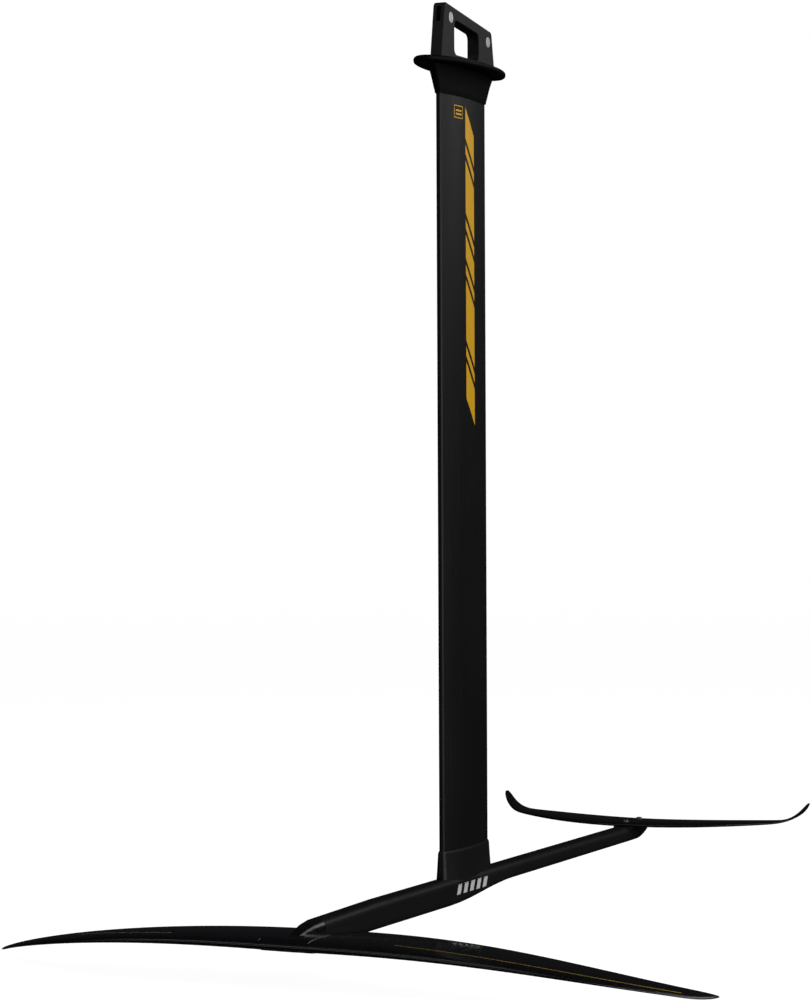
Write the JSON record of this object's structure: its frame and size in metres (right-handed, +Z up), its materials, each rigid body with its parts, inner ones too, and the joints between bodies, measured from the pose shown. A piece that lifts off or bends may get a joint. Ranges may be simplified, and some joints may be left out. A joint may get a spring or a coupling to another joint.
{
  "type": "hydrofoil mast wing",
  "caption": "Hydrofoil for a sailboard: fin-box head with barrel nuts, oval flange collar, hollow mast, long fuselage, drooped front wing and swept rear wing with raised tips.",
  "frame": {"origin": "on the mast's axis, in the plane of the flange's top face, which lies against the board's bottom", "axes": "+X towards the front wing (the way the board goes), +Y to port, +Z up towards the board"},
  "size_m": [1.061, 0.805, 1.0245],
  "materials": {
    "head_grey": "hard anodised, matte dark grey",
    "collar_black": "moulded, fine matte",
    "mast_black": "black anodised, satin",
    "fuselage_black": "black anodised, satin",
    "wing_gloss": "clear-coated black laminate",
    "core_foam": "closed-cell foam",
    "insert_laminate": "solid laminate block",
    "stainless": "passivated stainless",
    "nut_steel": "turned stainless",
    "thread_brass": "turned",
    "plug_aluminium": "as machined",
    "gasket_rubber": "soft sheet",
    "shim_black": "moulded"
  },
  "bodies": {
    "foil": {"head_screws": "stainless", "foot_plug_screws": "stainless", "mast_head": "head_grey", "base_collar": "collar_black", "mast_tube": "mast_black", "foot_plug": "plug_aluminium", "socket_gasket": "gasket_rubber", "mast_bolts": "stainless", "front_wing_skin": "wing_gloss", "front_wing_core": "core_foam", "front_wing_insert": "insert_laminate", "rear_wing_skin": "wing_gloss", "rear_wing_core": "core_foam", "rear_wing_insert": "insert_laminate", "front_wing_bolts": "stainless", "front_wing_washers": "stainless", "front_thread_inserts": "thread_brass", "rear_wing_screws": "stainless", "rear_wing_washers": "stainless", "tail_thread_inserts": "thread_brass", "fuselage": "fuselage_black", "rear_wing_shim": "shim_black"},
    "front_nut": {"barrel_nut_front": "nut_steel"},
    "rear_nut": {"barrel_nut_rear": "nut_steel"}
  },
  "joints": [
    {"name": "front_nut_turn", "type": "hinge", "parent": "foil", "child": "front_nut", "pos_m": [0.042, 0, 0.0475], "axis": [0, 1, 0], "continuous": true},
    {"name": "rear_nut_turn", "type": "hinge", "parent": "foil", "child": "rear_nut", "pos_m": [-0.0595, 0, 0.0326], "axis": [0, 1, 0], "continuous": true}
  ]
}
